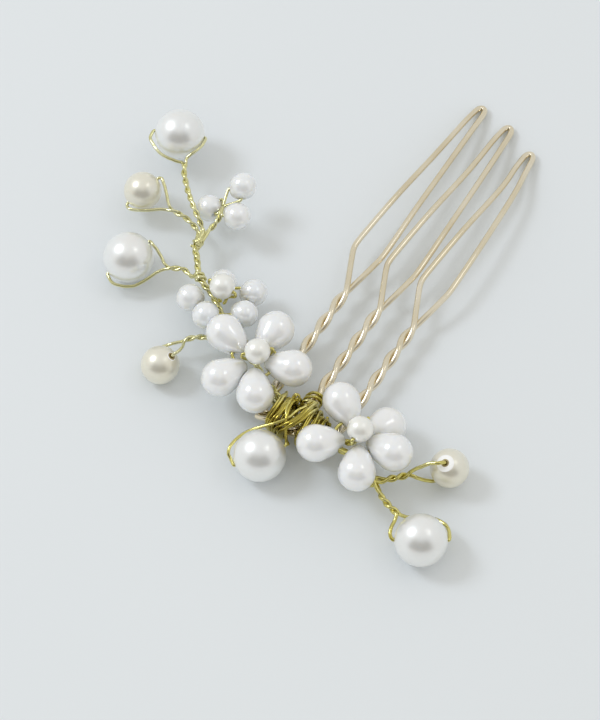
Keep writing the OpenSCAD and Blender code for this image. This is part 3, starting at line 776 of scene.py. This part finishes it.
def pearl_wire(i, a, b, stem, joins=()):
    w = FW * (1.0, 1.0, 1.0, 1.0, 1.0, 1.18, 1.14)[i]
    c, az, el, d = PEARLS[i]
    c = np.asarray(c, float)
    h = heading(az, el)
    r = d / 2
    line = smooth_line(stem, 0.1)
    n0 = np.asarray(a[-1], float) - np.asarray(stem[0], float)
    legs = []
    for j, (mid, sign) in enumerate(((a, 1), (b, -1))):
        st = strand(line, n0, w + 0.01, BRANCH_TWIST, j, 2)
        near = st[0] + (st[0] - st[5]) * 0.25 + unit(np.asarray(mid[-1], float) - st[0]) * FW * 0.6
        leg = smooth_line([c + sign * h * (r + 0.08), c + sign * h * (r + 0.22)] + [np.asarray(q, float) for q in mid] + [near], 0.1)
        if joins:
            more = tail(st[-1], *joins[j])
            ending = smooth_line([st[-14], st[-1]] + more, 0.1)
            legs.append(np.concatenate([leg, st[:-14], ending]))
        else:
            legs.append(np.concatenate([leg, st]))
    inside = np.linspace(-1, 1, 60)[:, None] * h * (r + 0.05) + c
    path = resample(np.concatenate([legs[1][::-1], inside, legs[0]]), STEP)
    hold = np.linalg.norm(path - c, axis=1) < r + 0.4
    path = relax(path, 6)
    path = wander(path, 0.022, 3.2, 101 + i, hold)
    path = relax(outside(path, c, h, r + w + 0.03), 2)
    s = Shell()
    s.tube(path, w, 12)
    # Pearls 6 and 7 get the deeper copy of the wire as painted shade, and the rest get the paler copy as painted light.
    return finish_piece(s.object("pearl_%d_loop" % (i + 1)), "pearl_%d_wire" % (i + 1), "comb",
                        SHADE_PAINTED_WIRE if i > 4 else LIT_CRAFT_WIRE)


pearl_wire(0, R1_B, R1_A, R1_STEM, ((LONG_LINE, 0.3, 0.6, 0.9, 1.5, 0.0), (LONG_LINE, 0.4, 0.64, 0.6, 2.2, 0.0)))
pearl_wire(1, R2_A, R2_B, R2_STEM, ((LONG_LINE, 0.3, 0.66, 0.7, 1.8, 0.0, -1), (LONG_LINE, 0.6, 0.6, 0.5, 2.6, 0.0, -1)))
pearl_wire(2, R3_A, R3_B, R3_STEM, ((LONG_LINE, 0.1, 0.72, 1.6, 0.75, 0.0), (LONG_LINE, 0.5, 0.7, 0.6, 2.0, 0.0)))
pearl_wire(3, R4_A, R4_B, R4_STEM, ((LONG_LINE, 0.2, 0.72, 1.3, 0.8, 0.0, -1), (LONG_LINE, 0.5, 0.78, 0.5, 2.0, 4.0, -1)))
pearl_wire(5, R6_A, R6_B, R6_STEM, ((SHORT_LINE, 0.1, 0.74, 2.2, 0.6, 2.0), (SHORT_LINE, 0.4, 0.8, 0.6, 1.6, 5.0)))
pearl_wire(6, R7_B, R7_A, R7_STEM, ((SHORT_LINE, 0.3, 0.78, 1.6, 0.75, 3.0, -1), (SHORT_LINE, 0.6, 0.84, 0.5, 1.8, 5.0, -1)))

c5 = np.asarray(PEARLS[4][0], float)
h5, r5 = heading(PEARLS[4][1], PEARLS[4][2]), PEARLS[4][3] / 2
leg_a = smooth_line([c5 - h5 * (r5 + 0.08), c5 - h5 * (r5 + 0.22)] + [np.asarray(q, float) for q in R5_A], 0.1)
leg_b = smooth_line([c5 + h5 * (r5 + 0.08), c5 + h5 * (r5 + 0.22)] + [np.asarray(q, float) for q in R5_B]
                    + [np.array(q) for q in ((5.5, -12.7, 6.3), (4.8, -11.2, 6.5), (4.5, -9.6, 6.1), (4.6, -8.4, 4.9), (4.7, -8.2, 3.6))], 0.1)
inside = np.linspace(-1, 1, 60)[:, None] * h5 * (r5 + 0.05) + c5
path = relax(resample(np.concatenate([leg_a[::-1], inside, leg_b]), STEP), 6)
path = wander(path, 0.03, 4, 105, np.linalg.norm(path - c5, axis=1) < r5 + 0.4)
s = Shell()
s.tube(path, FW, 12)
# Pearl 5's wire gets the deeper copy of the wire as painted shade.
finish_piece(s.object("pearl_5_loop"), "pearl_5_wire", "comb", SHADE_PAINTED_WIRE)


def drop_hole(spec, mid, tip):
    mid, tip = np.asarray(mid, float), np.asarray(tip, float)
    d = unit(tip - mid)
    at = tip - d * spec[2]
    t = unit([-d[1], d[0], 0])
    h = spec[1] + 0.3
    return at - t * h, at + t * h


def threaded(spec, mid, tips):
    pts = []
    for q in tips:
        a, b = drop_hole(spec, mid, q)
        pts += [a, 0.5 * (a + b), b]
    return pts


def centre_wire(top, foot, az):
    r = 2.0
    a = math.radians(az)
    u, z = np.array([math.cos(a), math.sin(a), 0]), np.array([0, 0, 1.0])
    top, foot = np.asarray(top, float), np.asarray(foot, float)
    return [foot - u * 0.28, foot - u * 0.5 + z * 0.4, top - u * 1 - z * 2.25, top - u * 2.3 - z * 1.1,
            top - u * (r + 0.35) - z * 0.15, top - u * (r + 0.1), top, top + u * (r + 0.1), top + u * (r + 0.35) - z * 0.15,
            top + u * 2.3 - z * 1.1, top + u * 1 - z * 2.25, foot + u * 0.5 + z * 0.4, foot + u * 0.28]


def flower_wire(name, spec, mid, tips, top, az, stem, seed):
    s = Shell()
    ring = threaded(spec, mid, tips)
    s.tube(relax(resample(smooth_line(ring, 0.1), STEP), 6), FW, 12)
    foot = np.asarray(mid, float) - np.array([0, 0, 0.7])
    s.tube(relax(resample(smooth_line(centre_wire(top, foot, az), 0.1), STEP), 4), FW, 12)
    if stem:
        line = smooth_line(stem, 0.1)
        for j in range(2):
            st = wander(strand(line, (0, 0, 1), FW + 0.01, BRANCH_TWIST, j, 2), 0.03, 3, seed + j)
            s.tube(st, FW, 12)
    # The flower threads get the deeper copy of the wire as painted shade.
    return finish_piece(s.object(name + "_thread"), name, "comb", SHADE_PAINTED_WIRE)


flower_wire("small_flower_wire", SMALL_DROP, SMALL_MID, SMALL, SMALL_TOP, SMALL_AZ, [], 201)
flower_wire("left_flower_wire", BIG_DROP, LEFT_MID, LEFT, LEFT_TOP, LEFT_AZ, LEFT_STEM, 202)
flower_wire("right_flower_wire", BIG_DROP, RIGHT_MID, RIGHT, RIGHT_TOP, RIGHT_AZ, RIGHT_STEM, 203)

s = Shell()
tm = np.asarray(TIP_MID, float)
for q in TIP:
    h0, h1 = drop_hole(SMALL_DROP, TIP_MID, q)
    d = unit(np.asarray(q, float) - tm)
    t = unit(h1 - h0)
    loop = [tm + d * 0.08 - t * 0.12, h0 - t * 0.12 - d * 0.65, h0, 0.5 * (h0 + h1), h1, h1 + t * 0.12 - d * 0.65, tm + d * 0.08 + t * 0.12]
    s.tube(relax(resample(smooth_line(loop, 0.1), STEP), 4), FW, 12)
line = smooth_line(TIP_STEM, 0.1)
for j, join in enumerate(((LONG_LINE, 0.2, 0.68, 1.2, 0.9, 0.0), (LONG_LINE, 0.3, 0.62, 0.6, 2.4, 0.0))):
    st = strand(line, (0, 0, 1), FW + 0.01, BRANCH_TWIST, j, 2)
    p = np.concatenate([st[:-10], smooth_line([st[-10], st[-1]] + tail(st[-1], *join), 0.1)])
    s.tube(relax(resample(p, STEP), 5), FW, 12)
# The tip drops' thread gets the paler copy of the wire as painted light.
finish_piece(s.object("tip_drops_thread"), "tip_drops_wire", "comb", LIT_CRAFT_WIRE)


def branch(name, route, n, turn, off, w=FW):
    s = Shell()
    line = resample(smooth_line(route, 0.1), STEP)
    line = relax(line, 8)
    for j in range(n):
        p = strand(line, (0, 0, 1), off, turn, j, n)
        p = wander(p, 0.02, 3.5, 301 + j)
        s.tube(p, w, 12)
    # The short branch gets the deeper copy of the wire as painted shade, and the long branch gets the paler copy as
    # painted light.
    return finish_piece(s.object(name + "_rope"), name, "comb", SHADE_PAINTED_WIRE if n == 3 and name[0] == "s" else LIT_CRAFT_WIRE)


branch("long_branch", LONG_BRANCH, 3, 3.9, FW * 1.2)
branch("short_branch", SHORT_BRANCH, 3, 3.9, FW * 1.32, FW * 1.12)


def coil(x0, x1, y, z, wy, wz, turns, seed, per=40, slip=0.22, puff=0.1, slant=0.0, start=0.0):
    """Hand-wound turns with square shoulders: the spacing slips and the radius breathes."""
    rng = np.random.default_rng(seed)
    ph = rng.uniform(0, 6.28, 6)
    pts = []
    for i in range(int(turns * per) + 1):
        a = 2 * math.pi * i / per + start
        f = i / (turns * per)
        q = [math.copysign(abs(math.cos(a)) ** 0.62, math.cos(a)), math.copysign(abs(math.sin(a)) ** 0.62, math.sin(a))]
        dx = slip * (math.sin(0.37 * a + ph[0]) + 0.6 * math.sin(0.83 * a + ph[1])) + slant * math.cos(a - 0.7)
        grow = puff * (1 + math.sin(0.61 * a + ph[2]) + 0.5 * math.sin(1.27 * a + ph[3]))
        pts.append((x0 + f * (x1 - x0) + dx, y + (wy + grow) * q[0], z + (wz + grow) * q[1]))
    return relax(resample(pts, STEP), 12)


s = Shell()
s.tube(coil(2.7, 5.1, -11.4, 3.65, 2.65, 2.1, 5, 1, slip=0.1, puff=0.03), FW, 12)
s.tube(coil(3.1, 5.0, -11.3, 3.8, 3.0, 2.45, 3, 5, slip=0.5, puff=0.08, slant=0.5), FW, 12)
s.tube(coil(7.9, 10.8, -11.4, 3.45, 2.65, 1.85, 6, 2, slip=0.1, puff=0.03), FW, 12)
s.tube(coil(8.3, 10.2, -11.2, 3.6, 3.0, 2.2, 3, 8, slip=0.5, puff=0.08, slant=-0.6), FW, 12)
# turns that cross from the left bundle over the middle tooth to the right one
s.tube(coil(5.6, 7.0, -11.2, 3.75, 3.05, 2.75, 3, 11, slip=0.25, puff=0.12, slant=2.0), FW, 12)
s.tube(coil(6.9, 6.1, -10.9, 3.75, 3.3, 2.95, 2, 17, slip=0.2, puff=0.12, slant=1.3, start=1.2), FW, 12)
ring = []
for i in range(4 * 40 + 1):
    a = 2 * math.pi * i / 40
    ring.append((TOOTH_X[1] + 1.3 * math.cos(a), -5.9 - 2.6 * i / 160 + 0.45 * math.sin(a + 0.4 + 0.011 * i), COMB_Z + 1.3 * math.sin(a)))
s.tube(wander(resample(ring, STEP), 0.04, 5, 23), FW, 12)
# the doubled wire beside the front pearl and a small loop left standing on top
front = [(7.8, -15.55, 4.4), (7.2, -15.3, 5.0), (6.5, -14.2, 5.7), (5.7, -12.9, 6.5), (5.2, -11.2, 6.7), (5.0, -9.6, 6.3), (5.2, -8.3, 5.2),
         (5.3, -8.0, 3.8)]
s.tube(relax(outside(relax(resample(smooth_line(front, 0.1), STEP), 5), c5, h5, r5 + FW + 0.04), 2), FW, 12)
curl = [(4.6, -9.5, 5.6), (4.5, -9.0, 6.2), (4.75, -8.6, 6.65), (5.25, -8.6, 6.6), (5.5, -9.0, 6.1), (5.4, -9.6, 5.7)]
s.tube(relax(resample(smooth_line(curl, 0.1), STEP), 4), FW * 0.96, 12)
# The binding turns take the darker copy of the wire as painted shade in the tangle.
finish_piece(s.object("binding_wire_turns"), "binding_wire", "comb", TANGLE_SHADE_WIRE)


# ------------------------------------------------------------------ studio
TARGET = Vector((SHIFT[0] * 0.001, SHIFT[1] * 0.001, 0.0))
RIGHT_V = Vector((0.8453, 0.5344, 0.0))
AWAY = Vector((-0.5344, 0.8453, 0.0))
UP = Vector((0, 0, 1))


def floor():
    import bmesh

    m = Mat("pale_floor")
    grain = m.noise(900, 4, 0.6)
    wide = m.noise(9, 2)
    p = m.principled(Roughness=0.75, IOR=1.4)
    col = m.ramp(wide, [(0.3, (0.752, 0.788, 0.816)), (0.7, (0.762, 0.798, 0.823))])
    m.l(col, p.inputs["Base Color"])
    m.l(m.bump(grain, 0.05, 0.00002), p.inputs["Normal"])
    bm = bmesh.new()
    bmesh.ops.create_grid(bm, x_segments=24, y_segments=24, size=1.6)
    me = bpy.data.meshes.new("studio_floor")
    bm.to_mesh(me)
    bm.free()
    ob = bpy.data.objects.new("studio_floor", me)
    ob.location = (0, 0, 0)
    me.materials.append(m.m)
    bpy.context.scene.collection.objects.link(ob)
    return ob


floor()


def softbox(name, right, away, up, dist, size, energy, colour=(1, 1, 1), spread=180):
    d = (RIGHT_V * right + AWAY * away + UP * up).normalized()
    li = bpy.data.lights.new(name, "AREA")
    li.shape = "RECTANGLE"
    li.size, li.size_y = size
    li.energy = energy
    li.color = colour
    li.spread = math.radians(spread)
    ob = bpy.data.objects.new(name, li)
    ob.location = TARGET + d * dist
    ob.rotation_euler = (-d).to_track_quat("-Z", "Y").to_euler()
    ob.visible_camera = False
    bpy.context.scene.collection.objects.link(ob)
    return ob


softbox("window", -0.631, 0.218, 0.744, 1.0, (0.29, 0.29), 2.3, (0.925, 0.99, 1.09))
softbox("side_panel", 0.519, 0.145, 0.841, 1.0, (0.28, 0.13), 0.22, (0.98, 0.99, 1.0))


def studio_world():
    w = bpy.data.worlds.new("studio")
    bpy.context.scene.world = w
    w.use_nodes = True
    t = w.node_tree
    t.nodes.clear()
    out = t.nodes.new("ShaderNodeOutputWorld")
    bg = t.nodes.new("ShaderNodeBackground")
    seen = t.nodes.new("ShaderNodeBackground")
    mix = t.nodes.new("ShaderNodeMixShader")
    path = t.nodes.new("ShaderNodeLightPath")
    tc = t.nodes.new("ShaderNodeTexCoord")
    sep = t.nodes.new("ShaderNodeSeparateXYZ")
    t.links.new(tc.outputs["Generated"], sep.inputs[0])

    def math_node(op, a, b=None, clamp=False):
        n = t.nodes.new("ShaderNodeMath")
        n.operation = op
        n.use_clamp = clamp
        for k, v in enumerate((a, b)):
            if v is None:
                continue
            if isinstance(v, (int, float)):
                n.inputs[k].default_value = v
            else:
                t.links.new(v, n.inputs[k])
        return n.outputs[0]

    def step(src, lo, hi):
        n = t.nodes.new("ShaderNodeMapRange")
        n.interpolation_type = "SMOOTHSTEP"
        n.inputs["From Min"].default_value = lo
        n.inputs["From Max"].default_value = hi
        t.links.new(src, n.inputs["Value"])
        return n.outputs["Result"]

    x, y, z = sep.outputs
    # how far a direction lies towards the front of the table, as the cosine of its compass angle
    flat = math_node("SQRT", math_node("ADD", math_node("MULTIPLY", x, x), math_node("MULTIPLY", y, y)))
    front = math_node("ADD", math_node("MULTIPLY", x, 0.4695), math_node("MULTIPLY", y, -0.8829))
    front = math_node("DIVIDE", front, math_node("MAXIMUM", flat, 0.001))
    dark = math_node("MULTIPLY", step(front, 0.42, 0.72), step(z, 0.08, 0.26))
    dark = math_node("MULTIPLY", dark, math_node("SUBTRACT", 1.0, step(z, 0.70, 1.0)))
    ramp = t.nodes.new("ShaderNodeValToRGB")
    e = ramp.color_ramp.elements
    e[0].position, e[0].color = 0.0, (0.85, 0.862, 0.865, 1)
    e[1].position, e[1].color = 1.0, (0.16, 0.15, 0.13, 1)
    t.links.new(dark, ramp.inputs["Fac"])
    room = t.nodes.new("ShaderNodeMix")
    room.data_type = "RGBA"
    col = [q for q in room.inputs if q.type == "RGBA"]
    col[0].default_value = (0.915, 0.90, 0.86, 1)
    t.links.new(path.outputs["Is Glossy Ray"], room.inputs[0])
    t.links.new(ramp.outputs["Color"], col[1])
    t.links.new([q for q in room.outputs if q.type == "RGBA"][0], bg.inputs["Color"])
    bg.inputs["Strength"].default_value = 0.86
    seen.inputs["Color"].default_value = (0.74, 0.775, 0.80, 1)
    seen.inputs["Strength"].default_value = 1.0
    t.links.new(path.outputs["Is Camera Ray"], mix.inputs["Fac"])
    t.links.new(bg.outputs[0], mix.inputs[1])
    t.links.new(seen.outputs[0], mix.inputs[2])
    t.links.new(mix.outputs[0], out.inputs["Surface"])


studio_world()

cam_data = bpy.data.cameras.new("camera")
cam_data.lens = 148.75
cam_data.sensor_width = 36
cam_data.sensor_fit = "AUTO"
cam_data.clip_start = 0.01
cam_data.clip_end = 20
cam = bpy.data.objects.new("camera", cam_data)
cam.location = TARGET + Vector((0.1229, -0.1944, 0.3984))
cam.rotation_euler = (TARGET - cam.location).to_track_quat("-Z", "Y").to_euler()
bpy.context.scene.collection.objects.link(cam)
bpy.context.scene.camera = cam

sc = bpy.context.scene
sc.view_settings.view_transform = "Standard"
sc.view_settings.look = "None"
sc.view_settings.exposure = 0.0
sc.view_settings.gamma = 1.0
